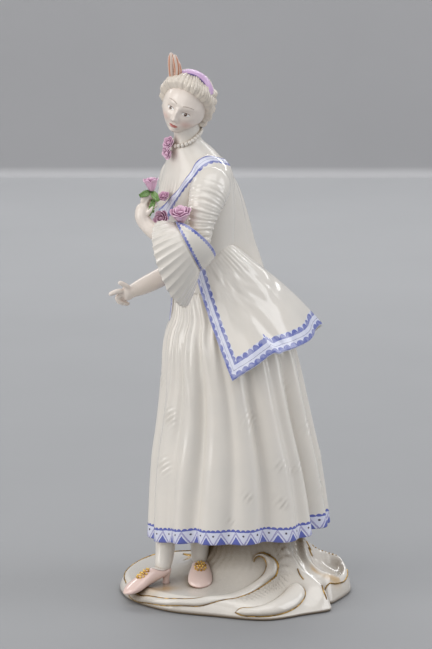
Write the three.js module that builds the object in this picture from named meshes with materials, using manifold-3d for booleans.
// Porcelain lady figurine: a rococo lady in a short jacket over a long petticoat, fired in one with
// her scrolled base.
// Millimetres, +Z up. The origin is the middle of the base's flat underside.
// The reference view looks along +Y with +X to the right, and the lady faces towards -X and -Y.
import * as THREE from "three";
import { mergeVertices } from "three/addons/utils/BufferGeometryUtils.js";
import Module from "manifold-3d";

// Driving dimensions
const PLATE_Z = 6.2; // top of the base plate, where she stands
const HEM_Z = 24; // bottom of the petticoat
const WAIST_Z = 121;
const HEAD_Z = 181.4; // middle of the head
const SKIRT_WALL = 2.2;
const SKIRT_RECESS = 13; // how far the petticoat is hollow above its hem
const CLOTH = 1.5; // thickness of the free jacket skirts, cuffs and frills
const WAIST = new THREE.Vector3(-10.5, 0, WAIST_Z);
const HEAD = new THREE.Vector3(-17.6, -9, HEAD_Z);
const TORSO_HEADING = 58; // degrees that her chest is turned from -Y towards -X
const HEAD_HEADING = 30;
const HEAD_LEAN = 26; // degrees towards her left shoulder
const HEAD_NOD = 10;

const TAU = 2 * Math.PI;
const { lerp, clamp, smoothstep, degToRad } = THREE.MathUtils;
const v3 = (x, y, z) => new THREE.Vector3(x, y, z);
const at = (...points) => points.map(([x, y, z]) => v3(x, y, z));

const wasm = await Module();
wasm.setup();

// A closed geometry as a manifold-3d solid, turned the right way out if its mapping mirrored it.
function solid(geometry) {
  const bare = new THREE.BufferGeometry()
    .setAttribute("position", geometry.getAttribute("position"))
    .setIndex(geometry.index);
  const merged = mergeVertices(bare, 1e-4);
  const triVerts = new Uint32Array(merged.index.array);
  const vertProperties = new Float32Array(merged.attributes.position.array);
  const made = new wasm.Manifold(new wasm.Mesh({ numProp: 3, vertProperties, triVerts }));
  if (made.volume() > 0) return made;
  for (let i = 0; i < triVerts.length; i += 3)
    [triVerts[i + 1], triVerts[i + 2]] = [triVerts[i + 2], triVerts[i + 1]];
  return new wasm.Manifold(new wasm.Mesh({ numProp: 3, vertProperties, triVerts }));
}

const joined = (solids) => solids.reduce((whole, next) => whole.add(next));

// A sphere remoulded so that the vertex at u round it and v from pole to pole lies at place(u, v).
function round(around, along, place) {
  const sphere = new THREE.SphereGeometry(1, around, along);
  const position = sphere.getAttribute("position");
  for (let row = 0, i = 0; row <= along; row++)
    for (let column = 0; column <= around; column++, i++) {
      const p = place(row === 0 || row === along ? 0 : (column % around) / around, row / along);
      position.setXYZ(i, p.x, p.y, p.z);
    }
  return solid(sphere);
}

// A thin box remoulded so that u and v run over it and side is -1 on its back and 1 on its front.
function sheet(across, along, place) {
  const box = new THREE.BoxGeometry(1, 1, 2, across, along, 1);
  const position = box.getAttribute("position");
  for (let i = 0; i < position.count; i++) {
    const p = place(position.getX(i) + 0.5, position.getY(i) + 0.5, position.getZ(i));
    position.setXYZ(i, p.x, p.y, p.z);
  }
  return solid(box);
}

// The values of a table of rows [t, a, b, ...] at t, on a smooth curve through its rows.
function profile(rows, t) {
  const last = rows.length - 1;
  if (t <= rows[0][0]) return rows[0].slice(1);
  if (t >= rows[last][0]) return rows[last].slice(1);
  const k = rows.findIndex((row, i) => i < last && t < rows[i + 1][0]);
  const span = rows[k + 1][0] - rows[k][0];
  const s = (t - rows[k][0]) / span;
  const slope = (i, j) => {
    const a = rows[Math.max(i - 1, 0)];
    const b = rows[Math.min(i + 1, last)];
    return (b[j] - a[j]) / (b[0] - a[0]);
  };
  return rows[k].slice(1).map((value, n) => {
    const j = n + 1;
    const end = rows[k + 1][j];
    return (
      value * (2 * s ** 3 - 3 * s ** 2 + 1) +
      slope(k, j) * span * (s ** 3 - 2 * s ** 2 + s) +
      end * (3 * s ** 2 - 2 * s ** 3) +
      slope(k + 1, j) * span * (s ** 3 - s ** 2)
    );
  });
}

// A hump of height 1 round angle centre, in degrees, falling to near 0 at two widths away.
function hump(angle, centre, width) {
  const away = THREE.MathUtils.euclideanModulo(angle - centre + 180, 360) - 180;
  return Math.exp(-((away / width) ** 2));
}

// A ring of radius vectors a and b round a centre.
const ring = (centre, a, b) => (u) =>
  centre.clone().addScaledVector(a, Math.cos(TAU * u)).addScaledVector(b, Math.sin(TAU * u));

// A limb: an oval tube along a smooth path with round ends. Each row of sizes is
// [share of the path, half width, half depth], with the half depth towards facing.
function limb(path, sizes, facing, around = 10, along = 8) {
  const curve = new THREE.CatmullRomCurve3(path, false, "catmullrom", 0.5);
  return round(around, along, (u, v) => {
    const t = clamp((1 - Math.cos(Math.PI * v)) / 2, 0, 1);
    const cap = Math.sqrt(clamp(1 - (2 * t - 1) ** 14, 0, 1));
    const tangent = curve.getTangent(t);
    const side = tangent.clone().cross(facing).normalize();
    const front = side.clone().cross(tangent).normalize();
    const [width, depth] = profile(sizes, t);
    return curve
      .getPoint(t)
      .addScaledVector(side, width * cap * Math.cos(TAU * u))
      .addScaledVector(front, depth * cap * Math.sin(TAU * u));
  });
}

// Three unit vectors of a person turned by heading, leaning and nodding: her left, her front and her up.
function stance(heading, lean = 0, nod = 0) {
  const [h, l, n] = [heading, lean, nod].map(degToRad);
  const left = v3(Math.cos(h), -Math.sin(h), 0);
  const front = v3(-Math.sin(h), -Math.cos(h), 0);
  const up = v3(0, 0, 1).multiplyScalar(Math.cos(l)).addScaledVector(left, Math.sin(l));
  const leanedLeft = left.clone().multiplyScalar(Math.cos(l)).setZ(-Math.sin(l));
  const noddedUp = up.clone().multiplyScalar(Math.cos(n)).addScaledVector(front, Math.sin(n));
  const noddedFront = front.clone().multiplyScalar(Math.cos(n)).addScaledVector(up, -Math.sin(n));
  return { left: leanedLeft, front: noddedFront, up: noddedUp };
}

const torso = stance(TORSO_HEADING);
const head = stance(HEAD_HEADING, HEAD_LEAN, HEAD_NOD);
// The point that lies so far to her left, front and up from an origin.
const from = (origin, axes, left, front, up = 0) =>
  origin
    .clone()
    .addScaledVector(axes.left, left)
    .addScaledVector(axes.front, front)
    .addScaledVector(axes.up, up);

// Base: plan points of its foot, from the shell on the right round the back and along the front
const BASE_PLAN = at(
  [42.7, -1, 0], [42, 10, 0], [37, 19, 0], [27, 27, 0], [10, 34, 0], [-10, 37, 0], [-27, 35, 0],
  [-37, 24, 0], [-42.5, 8, 0], [-41, -6, 0], [-35.5, -16, 0], [-24, -26, 0], [-7.2, -32, 0],
  [10.8, -36.6, 0], [25, -30, 0], [34.6, -24.4, 0], [32.6, -18.5, 0], [36.5, -14.5, 0],
);
const BASE_OUTLINE = new THREE.CatmullRomCurve3(BASE_PLAN, true, "catmullrom", 0.5);
const BASE_LIP = 1.2;
const MOUND = { x: 7, y: 5, reachX: 16.5, reachY: 14, rise: 34 };
const SHELL = { x: 34, y: 1, reachX: 8.5, reachY: 13, rise: 4.2 };

// Height of the base's top at a plan point that lies inwards from the outline by a distance.
function baseHeight(x, y, inwards) {
  const bearing = THREE.MathUtils.radToDeg(Math.atan2(y, x));
  const slope = 3.4 + 9 * hump(bearing, 305, 26);
  const rim = BASE_LIP + (PLATE_Z - BASE_LIP) * (1 - (1 - clamp(inwards / slope, 0, 1)) ** 2.2);
  const mound = Math.hypot((x - MOUND.x) / MOUND.reachX, (y - MOUND.y) / MOUND.reachY);
  const shell = Math.hypot((x - SHELL.x) / SHELL.reachX, (y - SHELL.y) / SHELL.reachY);
  const along = clamp(((x - 10) * 24 - (y + 2) * 20) / (24 * 24 + 20 * 20), 0, 1);
  const off = Math.hypot(x - 10 - 24 * along, y + 2 + 20 * along);
  const spur = 5.5 * Math.exp(-((off / 5) ** 2)) * (1 - 0.75 * along ** 2);
  const dish = SHELL.rise * (Math.exp(-(((shell - 0.95) / 0.3) ** 2)) - 0.25 * Math.exp(-(shell ** 4)));
  const share = clamp(inwards / 2.5, 0, 1);
  return rim + share * (MOUND.rise * Math.exp(-(mound ** 2)) + spur + dish);
}

// The base: rows run from the middle of its underside out to the foot, and over the top to the mound.
function base() {
  const middle = v3(MOUND.x, MOUND.y, 0);
  const rows = 11;
  return round(42, rows, (u, v) => {
    const edge = BASE_OUTLINE.getPoint(u);
    const row = Math.round(v * rows);
    if (row === 0) return middle.clone();
    const share = row <= 2 ? 1 : 1 - ((row - 2) / (rows - 2)) ** 1.35;
    const p = middle.clone().lerp(edge, row === 1 ? 0.985 : share);
    const inwards = edge.distanceTo(middle) * (1 - share);
    p.z = row === 1 ? 0 : baseHeight(p.x, p.y, inwards);
    return p;
  });
}

// A raised scroll that lies along the base's top, through points, with its half widths and half depths.
function scroll(points, sizes, around, along) {
  return limb(at(...points), sizes, v3(0, -0.5, 0.86), around, along);
}

const RIM_SCROLL = [
  [-38.6, -1, 5.4], [-36.5, -11, 5.4], [-28, -20.4, 5.5], [-15, -26.5, 5.6], [-2, -25.2, 6.4],
  [6, -20.5, 8.6], [11.6, -15, 12.2], [12.4, -11.5, 15.8], [9.4, -9.8, 17.8], [7.2, -11.6, 17.4],
];
const CARTOUCHE = [
  [0.4, -34, 2.6], [6.5, -32.6, 3.4], [13, -29.6, 4.6], [18.8, -25.4, 6.8], [22.4, -21.6, 9],
];

function baseScrolls() {
  return joined([
    scroll(RIM_SCROLL, [[0, 1, 0.7], [0.2, 1.5, 1], [0.6, 1.7, 1.3], [0.9, 1.3, 1.3], [1, 0.6, 0.9]], 6, 18),
    scroll(CARTOUCHE, [[0, 0.7, 0.6], [0.4, 2, 1.6], [0.8, 3.4, 2.3], [1, 2.6, 1.8]], 8, 8),
  ]);
}

// Petticoat: rows of [height, middle x, middle y, half width, half depth]
const SKIRT = [
  [20, 2.2, 0.5, 33.8, 29.5],
  [50, 1.1, 0.5, 30.6, 27],
  [65, 0.2, 0.5, 28.2, 25.2],
  [82, -1.3, 0.3, 25.8, 23],
  [93, -2.6, 0.2, 24.2, 21.4],
  [105, -5, 0, 20.6, 18],
  [114, -8.6, 0, 15, 13],
  [122, -10.5, 0, 11.6, 9.8],
];
// Its folds: [bearing of the groove, half width of it, depth as a share of the radius]
const GROOVES = [
  [197, 6, 0.05], [221, 6, 0.05], [241, 5, 0.085], [264, 4, 0.04], [286, 6, 0.1], [309, 4, 0.045],
  [328, 6, 0.12], [352, 6, 0.08], [14, 6, 0.1], [38, 7, 0.09], [63, 6, 0.08], [88, 7, 0.1],
  [112, 6, 0.08], [136, 7, 0.09], [160, 6, 0.07], [178, 5, 0.05],
];

// How far a fold draws the petticoat in at a bearing, deepest at the hem and gone at the waist.
function skirtFold(bearing, rise) {
  const depth = GROOVES.reduce((sum, [where, width, deep]) => sum + deep * hump(bearing, where, width), 0);
  return depth * (1 - smoothstep(rise, 0.35, 1)) - 0.02;
}

const hemHeight = (bearing) =>
  HEM_Z + 1.2 * hump(bearing, 280, 50) + 2 * hump(bearing, 340, 30) - 2.4 * hump(bearing, 190, 40);

// A point of the petticoat: u is its bearing as a share of a turn, rise 0 at the hem and 1 at the waist.
function skirtPoint(u, rise, inset = 0) {
  const bearing = 360 * u;
  const z = lerp(hemHeight(bearing), WAIST_Z + 1, rise);
  const [x, y, width, depth] = profile(SKIRT, z);
  const draw = 1 - skirtFold(bearing, rise);
  return v3(
    x + (width * draw - inset) * Math.cos(TAU * u),
    y + (depth * draw - inset) * Math.sin(TAU * u),
    z,
  );
}

// The petticoat, hollow for a little way above the hem.
function petticoat() {
  const rows = 8;
  const body = round(50, rows, (u, v) => {
    const row = Math.round(v * rows);
    if (row === 0) return v3(2, 0, HEM_Z + SKIRT_RECESS - 3);
    return row === rows ? v3(-10.5, 0, WAIST_Z + 2) : skirtPoint(u, ((row - 1) / (rows - 2)) ** 0.9);
  });
  const recess = round(20, 5, (u, v) => {
    const row = Math.round(v * 5);
    if (row === 0) return v3(2, 0, HEM_Z - 12);
    if (row === 5) return v3(2, 0, HEM_Z + SKIRT_RECESS + 1);
    const p = skirtPoint(u, row < 3 ? 0 : 0.1, SKIRT_WALL + (row === 4 ? 4 : 0));
    p.z = [0, HEM_Z - 10, HEM_Z, HEM_Z + SKIRT_RECESS - 3, HEM_Z + SKIRT_RECESS][row];
    return p;
  });
  return body.subtract(recess);
}

// Torso: rows of [height, middle x, middle y, half width, half depth], from the waist up to the neck
const TORSO = [
  [112, -10.2, 0.4, 14, 12],
  [122, -10.5, 0, 12, 10.2],
  [131, -11.8, -0.8, 12.6, 11],
  [141, -13, -1.8, 14, 12.6],
  [148, -13.6, -2.2, 14.8, 12.6],
  [154, -13.8, -2.6, 15, 11.8],
  [158.5, -13.8, -3, 14.4, 10.6],
  [162, -14.6, -3.6, 11.6, 9.2],
  [165.5, -15.6, -4.8, 7.6, 7.4],
  [169, -16.9, -6, 4.9, 5],
  [173, -17.4, -7, 4.6, 4.8],
  [178, -17.8, -8, 4.6, 4.8],
];

// A point of the torso: turn is the angle from her left round by her front, out is how far it stands off.
function torsoPoint(turn, z, out = 0) {
  const [x, y, width, depth] = profile(TORSO, z);
  const angle = TAU * turn;
  const breasts = hump(360 * turn, 62, 20) + hump(360 * turn, 118, 20);
  const bosom = 1.6 * Math.exp(-(((z - 146.5) / 5) ** 2)) * breasts;
  return from(
    v3(x, y, z),
    torso,
    (width + out + bosom * 0.4) * Math.cos(angle),
    (depth + out + bosom) * Math.sin(angle),
  );
}

function body() {
  return round(16, 14, (u, v) => {
    const z = lerp(112, 178, v);
    return v === 0 || v === 1 ? v3(...profile(TORSO, z).slice(0, 2), z) : torsoPoint(u, z);
  });
}

// Height of the jacket's neckline round the body: a deep V in front, over the shoulders and high behind.
const neckline = (turn) => 161 - 19 * hump(360 * turn, 90, 42) - 1.5 * hump(360 * turn, 270, 50);

// The jacket's bodice stands a little proud of the body, up to the neckline.
function bodice() {
  const rows = 7;
  return round(24, rows, (u, v) => {
    const row = Math.round(v * rows);
    const low = 114;
    if (row === 0) return v3(-10.2, 0.3, low);
    if (row === rows) return v3(-12.6, -2.4, 141);
    const z = lerp(low, neckline(u), Math.min(1, (row - 1) / (rows - 3)));
    return torsoPoint(u, z, row < rows - 1 ? 0.9 : -1.2);
  });
}

// Jacket skirts, from her left front edge round the back to her right front edge:
// [share of the way round, bearing at the waist, hem x, hem y, hem z]
const SKIRTS = [
  [0, 242, -1.2, -27, 85.4],
  [0.09, 256, 6.6, -26.6, 90.6],
  [0.18, 272, 13.6, -24, 95],
  [0.28, 290, 20.5, -18.5, 95.6],
  [0.4, 315, 28, -5, 97],
  [0.5, 350, 31.2, 10, 98.6],
  [0.6, 380, 26, 23, 97.6],
  [0.7, 410, 12, 30, 94.6],
  [0.8, 450, -3, 30, 91],
  [0.9, 500, -17, 22.5, 86],
  [1, 548, -26.6, 8, 80],
];
const SKIRT_PLEATS = 6;

// A point of the jacket skirts: way runs round them and drop from the waist to the hem.
function jacketSkirtPoint(way, drop, side) {
  const [bearing, x, y, z] = profile(SKIRTS, way);
  const turn = degToRad(bearing);
  const top = v3(WAIST.x + 11.9 * Math.cos(turn), WAIST.y + 12.4 * Math.sin(turn), WAIST_Z + 3.5);
  const p = top.lerp(v3(x, y, z), drop);
  const out = v3(x - 1, y, 0).normalize();
  const flare = 1.6 * Math.sin(Math.PI * drop) + 1.3 * drop * Math.cos(TAU * SKIRT_PLEATS * way);
  return p.addScaledVector(out, flare + (side < 0 ? -CLOTH : 0));
}

const jacketSkirts = () => sheet(24, 3, (u, v, side) => jacketSkirtPoint(u, 1 - v, side));

// Back pleats: rows of [height, reach behind the middle of the back, half width]
const BACK_PLEATS = [
  [108, 23, 9],
  [118, 22.4, 8],
  [128, 20.8, 7.6],
  [139, 18.2, 7.6],
  [148, 15.4, 7.8],
  [155, 12, 7.6],
  [160, 8.4, 6.4],
];

// The loose pleats that fall from the shoulders to the jacket skirts behind her.
function backPleats() {
  return sheet(8, 5, (u, v, side) => {
    const z = lerp(108, 160, v);
    const [reach, width] = profile(BACK_PLEATS, z);
    const [x, y] = profile(TORSO, z);
    const pleat = 0.7 * Math.abs(Math.cos(2 * TAU * u));
    const waisted = side < 0 ? 0.7 : 1;
    const behind = side < 0 ? 6 : reach + pleat - 3.2 * Math.abs(2 * u - 1) ** 3;
    return from(v3(x, y, z), torso, width * waisted * (2 * u - 1), -behind);
  });
}

// Sleeves: the gathered upper arm
const GATHERS = 7;
function sleeve(path) {
  const sizes = [[0, 5.6, 5.6], [0.25, 7, 6.8], [0.5, 6.5, 6.4], [0.75, 5.4, 5.4], [1, 4.4, 4.4]];
  const gathered = [];
  for (let i = 0; i <= 2 * GATHERS; i++) {
    const t = i / (2 * GATHERS);
    const swell = i % 2 ? 0.28 : -0.28;
    gathered.push([t, ...profile(sizes, t).map((size) => size + swell * smoothstep(t, 0.1, 0.3))]);
  }
  return limb(path, gathered, v3(0, -1, 0.2), 8, 13);
}

// A bell between two rings, its pleats deepest at its end. A bare bell is what hollows another out.
function bell(start, end, swell, pleats, around, { inset = 0, low = 0, high = 1, rows = 2 } = {}) {
  const place = (u, share) => {
    const p = start(u).lerp(end(u), share);
    const middle = start(0).add(start(0.5)).lerp(end(0).add(end(0.5)), share).multiplyScalar(0.5);
    const out = p.clone().sub(middle).normalize();
    const pleat = pleats ? FRILL_PLEAT * share * Math.cos(TAU * pleats * u) : 0;
    return p.addScaledVector(out, swell * Math.sin(Math.PI * share) + pleat - inset);
  };
  return round(around, rows + 2, (u, v) => {
    const row = Math.round(v * (rows + 2));
    const share = lerp(low, high, clamp((row - 1) / rows, 0, 1));
    if (row > 0 && row < rows + 2) return place(u, share);
    return place(0, share).add(place(0.5, share)).multiplyScalar(0.5);
  });
}

// One arm's clothes: the gathered sleeve, the turned cuff and the pleated frill below it.
const FRILL_PLEAT = 0.6;
function dressedArm({ upper, elbow, cuff, frill, pleats }) {
  const turned = bell(elbow, cuff, 0.5, 0, 14);
  const pleated = bell(cuff, frill, 0.6, pleats, 2 * pleats, { low: -0.22 });
  const hollow = bell(cuff, frill, 0.6, 0, 12, { inset: CLOTH, low: 0.12, high: 1.2 });
  return joined([sleeve(upper), turned, pleated.subtract(hollow)]);
}

const LEFT_ARM = {
  upper: at([-6.5, -12.5, 158], [-8.2, -17, 154], [-9.9, -20.4, 147.5], [-11, -22.2, 140], [-13.4, -24, 131]),
  elbow: ring(v3(-14.1, -24.5, 135.9), v3(7.05, 0, -6), v3(-1.6, 8, -3.3)),
  cuff: ring(v3(-16.7, -25, 133.2), v3(4.4, 0, -8.6), v3(0, 8.8, -1.5)),
  frill: ring(v3(-22.7, -25, 126.8), v3(5.05, 0, -15.5), v3(4.6, 8.4, 0)),
  pleats: 12,
};
const RIGHT_ARM = {
  upper: at([-19, 9, 157], [-20.5, 11.5, 152], [-21, 12.8, 143], [-20.4, 12.8, 134], [-19.6, 12, 127.5]),
  elbow: ring(v3(-19.4, 11.8, 127), v3(-4.6, -3.6, 2), v3(2.4, -5, -3)),
  cuff: ring(v3(-20.6, 9.4, 120.6), v3(-4.6, -2.4, 6), v3(3.2, -6, -2.6)),
  frill: ring(v3(-22.2, 8.6, 115.5), v3(-3.4, -1.6, 9.4), v3(3.6, -7.6, -2.8)),
  pleats: 10,
};

// Arms and hands. Each finger is a short limb.
const FINGER = [[0, 1, 1], [0.6, 0.9, 0.9], [1, 0.6, 0.6]];
const finger = (...path) => limb(at(...path), FINGER, v3(0.3, -1, 0.1), 4, 4);

function leftForearm() {
  return joined([
    limb(
      at([-16, -25, 134], [-22.6, -25, 136], [-29, -23.4, 138.6], [-33, -21.4, 142.6], [-33, -20, 147.6]),
      [[0, 3.4, 3.4], [0.35, 3.2, 3.1], [0.62, 2.5, 2.4], [0.8, 2.4, 2.9], [1, 2.2, 3]],
      v3(0.2, -1, 0.3), 8, 10,
    ),
    finger([-33, -21.4, 147.6], [-31.6, -21.4, 150.8], [-29, -20.6, 150.2], [-28.2, -19.6, 148]),
    finger([-32.8, -20, 148.4], [-31, -19.6, 151.2], [-28.6, -19, 150.2], [-28, -18.4, 148]),
    finger([-32.4, -18.6, 148.4], [-30.6, -17.8, 150.8], [-28.4, -17.4, 149.8], [-27.8, -17, 147.6]),
    finger([-32.4, -18.6, 146], [-31.2, -17, 148.8], [-28.8, -16.6, 148.2], [-28.2, -16.4, 146.4]),
    finger([-31.8, -22.4, 144], [-29.8, -23, 146.2], [-28.2, -22, 147.4], [-27.2, -20.8, 147.2]),
  ]);
}

function rightForearm() {
  return joined([
    limb(
      at([-19, 10.6, 122.6], [-27, 3.6, 118.6], [-33.6, -2, 115.4], [-37.6, -5, 113.6], [-40.4, -6.6, 112.6]),
      [[0, 3.6, 3.6], [0.4, 3.3, 3.2], [0.7, 2.2, 2.2], [0.85, 2.1, 3], [1, 1.7, 2.6]],
      v3(0, -0.3, 1), 8, 10,
    ),
    finger([-40, -7, 113.6], [-42.4, -7.8, 113], [-44.2, -8.2, 112], [-46, -8.4, 111]),
    finger([-40, -6, 112.6], [-42.2, -6.2, 111.2], [-41.6, -6, 109.2], [-39.8, -5.6, 109.2]),
    finger([-39.4, -5, 112], [-41.2, -5, 110.4], [-40.6, -4.8, 108.4], [-38.8, -4.6, 108.6]),
    finger([-38.6, -4.2, 111.4], [-40, -4, 109.8], [-39.4, -3.8, 108], [-37.8, -3.8, 108.4]),
    finger([-37.4, -6.6, 114.4], [-38.6, -8, 116], [-39.8, -8.8, 117], [-41, -9.2, 117]),
  ]);
}

// Head: a point at a direction given by its turn from her left round by her front and its tilt above level.
const SKULL = { width: 8, depth: 9.3, height: 10.8 };
function headPoint(turn, tilt, out = 0) {
  const d = v3(Math.cos(tilt) * Math.cos(TAU * turn), Math.cos(tilt) * Math.sin(TAU * turn), Math.sin(tilt));
  const low = smoothstep(-d.z, 0.1, 1);
  const bearing = 360 * turn;
  const tiltDeg = THREE.MathUtils.radToDeg(tilt);
  const bump = (b, t, wide, tall) => hump(bearing, b, wide) * Math.exp(-(((tiltDeg - t) / tall) ** 2));
  const nose = 1.5 * bump(90, -16, 8, 8) + 0.7 * bump(90, -2, 6, 9);
  const chin = 1.3 * bump(90, -50, 24, 10);
  const brow = 0.35 * bump(90, 12, 34, 7);
  const eyes = -0.75 * (bump(66, -2, 9, 7) + bump(114, -2, 9, 7));
  return from(
    HEAD,
    head,
    (SKULL.width + out) * d.x * (1 - 0.22 * low),
    (SKULL.depth + out) * d.y * (1 - 0.1 * low) + nose + chin + brow + eyes,
    (SKULL.height + out) * d.z,
  );
}

const skull = () => round(16, 12, (u, v) => headPoint(u, Math.PI * (v - 0.5)));

// The hair lies back from the brow in ridged locks, and is open round the face.
const HAIR_LOCKS = 14;
function hair() {
  return round(28, 7, (u, v) => {
    const tilt = Math.PI * (v - 0.5);
    const face = hump(360 * u, 90, 52);
    const edge = degToRad(lerp(-34, 38, face));
    const thick = smoothstep(tilt - edge, -0.12, 0.3);
    const lock = 0.35 * Math.cos(TAU * HAIR_LOCKS * u);
    return headPoint(u, tilt, -1.4 + (3.4 + lock * Math.cos(tilt)) * thick);
  });
}

// A rolled curl of hair between two points given from the middle of the head.
function curl(a, b, radius) {
  const path = [from(HEAD, head, ...a), from(HEAD, head, ...b)];
  const ends = radius * 0.8;
  return limb(path, [[0, ends, ends], [0.5, radius, radius], [1, ends, ends]], head.up, 6, 3);
}

function curls() {
  const rolls = [];
  for (const side of [-1, 1])
    for (const [up, back, radius] of [[1.5, 3.4, 2.4], [-2.8, 2.6, 2.2]])
      rolls.push(curl([side * 6.2, -back, up], [side * 8.4, -back - 3.6, up - 1.2], radius));
  rolls.push(curl([-3, -8.6, -4], [3, -8.6, -4], 3.6));
  return joined(rolls);
}

// The ribbon band over the crown, and the plume beside it.
function ribbon() {
  return sheet(9, 1, (u, v, side) => {
    const across = lerp(-62, 68, u);
    const tilt = degToRad(90 - Math.abs(across));
    const turn = (across < 0 ? 165 : 15) / 360;
    const p = headPoint(turn, tilt, side < 0 ? 0.5 : 2.9);
    return p.addScaledVector(head.front, lerp(-1.9, 1.9, v));
  });
}

function plume() {
  const lobes = [[-5.6, -1.1, 1], [-3.4, -0.5, 0.95]];
  return joined(
    lobes.map(([left, lean, tall]) => {
      const root = from(HEAD, head, left, 4.4, 7.6);
      const tip = root.clone().add(v3(lean, 0.6, 10.4 * tall));
      const path = [root, root.clone().lerp(tip, 0.5).add(v3(0.6, 0, 0)), tip];
      return limb(path, [[0, 0.8, 1.2], [0.5, 0.9, 2], [1, 0.5, 0.9]], v3(1, 0, 0), 6, 5);
    }),
  );
}

// Flowers
function rose(centre, axis, radius) {
  const up = axis.clone().normalize();
  const side = up.clone().cross(v3(0.3, 0.9, 0.2)).normalize();
  const front = side.clone().cross(up);
  return round(10, 4, (u, v) => {
    const tilt = Math.PI * (v - 0.5);
    const petals = 1 + 0.14 * Math.cos(5 * TAU * u) * Math.cos(tilt);
    const dish = v > 0.8 ? -0.45 * radius * (v - 0.8) * 5 : 0;
    return centre
      .clone()
      .addScaledVector(side, radius * petals * Math.cos(tilt) * Math.cos(TAU * u))
      .addScaledVector(front, radius * petals * Math.cos(tilt) * Math.sin(TAU * u))
      .addScaledVector(up, 0.85 * radius * Math.sin(tilt) + dish);
  });
}

function leaf(root, tip, width) {
  const run = tip.clone().sub(root);
  const side = run.clone().cross(v3(0, -1, 0.3)).normalize();
  const normal = side.clone().cross(run).normalize();
  return sheet(2, 3, (u, v, face) => {
    const half = width * (0.15 + 0.85 * Math.sin(Math.PI * (0.12 + 0.8 * v)));
    return root
      .clone()
      .addScaledVector(run, v)
      .addScaledVector(side, half * (2 * u - 1))
      .addScaledVector(normal, 0.35 * face + 0.8 * Math.sin(Math.PI * v) + 0.4 * Math.abs(2 * u - 1));
  });
}

// Each rose: [middle, axis, radius]
const ROSES = [
  [v3(-22.7, -8.8, 168.7), v3(-0.8, -0.9, 0.5), 2.3],
  [v3(-23, -9.2, 165), v3(-0.9, -0.8, -0.2), 2.3],
  [v3(-29.6, -20.6, 155.4), v3(-0.1, 0, 1), 2.3],
  [v3(-25.2, -9.8, 141.2), v3(-0.7, -0.8, 0.1), 2.8],
  [v3(-25.6, -9.6, 148.4), v3(-0.6, -0.7, 0.4), 2.1],
  [v3(-19.2, -28.4, 145.3), v3(0.1, -0.9, 0.3), 3.2],
];

function flowers() {
  const leaves = [
    leaf(v3(-29.8, -20.4, 152.4), v3(-34.4, -21.6, 151.4), 1.3),
    leaf(v3(-29.6, -20.4, 152.6), v3(-27.6, -23.4, 149.6), 1.3),
    leaf(v3(-29, -19.6, 150), v3(-28.4, -21.4, 144.4), 1.1),
  ];
  const stemPath = at([-29.6, -20.4, 153.6], [-29.4, -20, 149], [-29, -19.2, 144.4]);
  const stem = limb(stemPath, [[0, 0.7, 0.7], [1, 0.6, 0.6]], v3(0, -1, 0), 5, 3);
  return joined([stem, ...leaves, ...ROSES.map(([centre, axis, radius]) => rose(centre, axis, radius))]);
}

// The string of pearls round her neck, lower in front than behind.
const PEARLS = 14;
const PEARL_RADIUS = 1;
function pearls() {
  const beads = [];
  for (let i = 0; i < PEARLS; i++) {
    const turn = i / PEARLS;
    const middle = torsoPoint(turn, 169.6 - 2.8 * Math.sin(TAU * turn), 0.3);
    const bead = (u, v) => new THREE.Vector3().setFromSphericalCoords(PEARL_RADIUS, Math.PI * v, TAU * u);
    beads.push(round(4, 3, (u, v) => bead(u, v).add(middle)));
  }
  return joined(beads);
}

// Shoes: rows of [share of the length from the heel, half width, top, underside]
const SHOE = [
  [0, 2, 6.6, 3.4],
  [0.2, 2.7, 7.2, 2.8],
  [0.45, 3, 6.6, 1.6],
  [0.7, 3.7, 4.6, 0.3],
  [0.88, 2.8, 3, 0],
  [1, 0.9, 1.6, 0.2],
];

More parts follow.
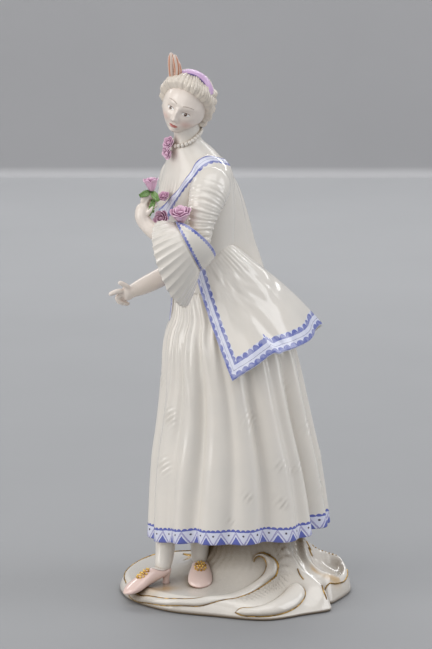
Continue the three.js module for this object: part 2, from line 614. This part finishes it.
function shoe(heel, toe) {
  const run = toe.clone().sub(heel);
  const side = v3(-run.y, run.x, 0).normalize();
  const upper = round(9, 7, (u, v) => {
    const [width, top, under] = profile(SHOE, v);
    const cap = Math.sqrt(clamp(1 - (2 * v - 1) ** 10, 0, 1));
    const rise = (top + under) / 2 + ((top - under) / 2) * cap * Math.sin(TAU * u);
    return heel
      .clone()
      .addScaledVector(run, v)
      .addScaledVector(side, width * cap * Math.cos(TAU * u))
      .setZ(heel.z + v * run.z + rise);
  });
  const foot = heel.clone().addScaledVector(run, 0.1);
  const heights = [5, 2.4, -0.6].map((z) => foot.clone().add(v3(0, 0, z)));
  const heelBlock = limb(heights, [[0, 2, 2], [0.5, 1.3, 1.3], [1, 1.5, 1.5]], v3(0, 1, 0), 6, 3);
  return joined([upper, heelBlock]);
}

const SHIN = [[0, 4, 4], [0.5, 3, 3], [0.8, 2.7, 2.8], [1, 2.4, 3]];
const shin = (...path) => limb(at(...path), SHIN, v3(0.5, -1, 0), 7, 5);

function feet() {
  return joined([
    shoe(v3(-25.2, -9.6, PLATE_Z), v3(-41, -16.6, PLATE_Z - 2.6)),
    shoe(v3(-12.2, 1.4, PLATE_Z), v3(-12.8, -18.2, PLATE_Z)),
    shin([-24.6, -4, 38], [-26, -7, 26], [-26.6, -9, 17], [-28, -10.6, 11]),
    shin([-12, 2, 38], [-12, 0.4, 26], [-12.2, -1.2, 17], [-12.4, -3, 11]),
  ]);
}

// The whole figure, fired in one. Pockets shut in between joined forms are filled.
const fused = joined([
  base(), baseScrolls(), petticoat(), body(), bodice(), jacketSkirts(), backPleats(),
  dressedArm(LEFT_ARM), dressedArm(RIGHT_ARM), leftForearm(), rightForearm(),
  skull(), hair(), curls(), ribbon(), plume(), flowers(), pearls(), feet(),
]);
const whole = joined(fused.decompose().filter((part) => part.volume() > 0));

// A manifold-3d solid as a three.js geometry.
function geometryOf(made) {
  const mesh = made.getMesh();
  return new THREE.BufferGeometry()
    .setAttribute("position", new THREE.BufferAttribute(mesh.vertProperties, 3))
    .setIndex(new THREE.BufferAttribute(mesh.triVerts, 1));
}

const glaze = new THREE.MeshStandardMaterial({ color: "#e9e3d8", roughness: 0.12, metalness: 0 });
const figurine = new THREE.Mesh(geometryOf(whole), glaze);
figurine.name = "figurine";

const group = new THREE.Group();
group.add(figurine);
export default group;
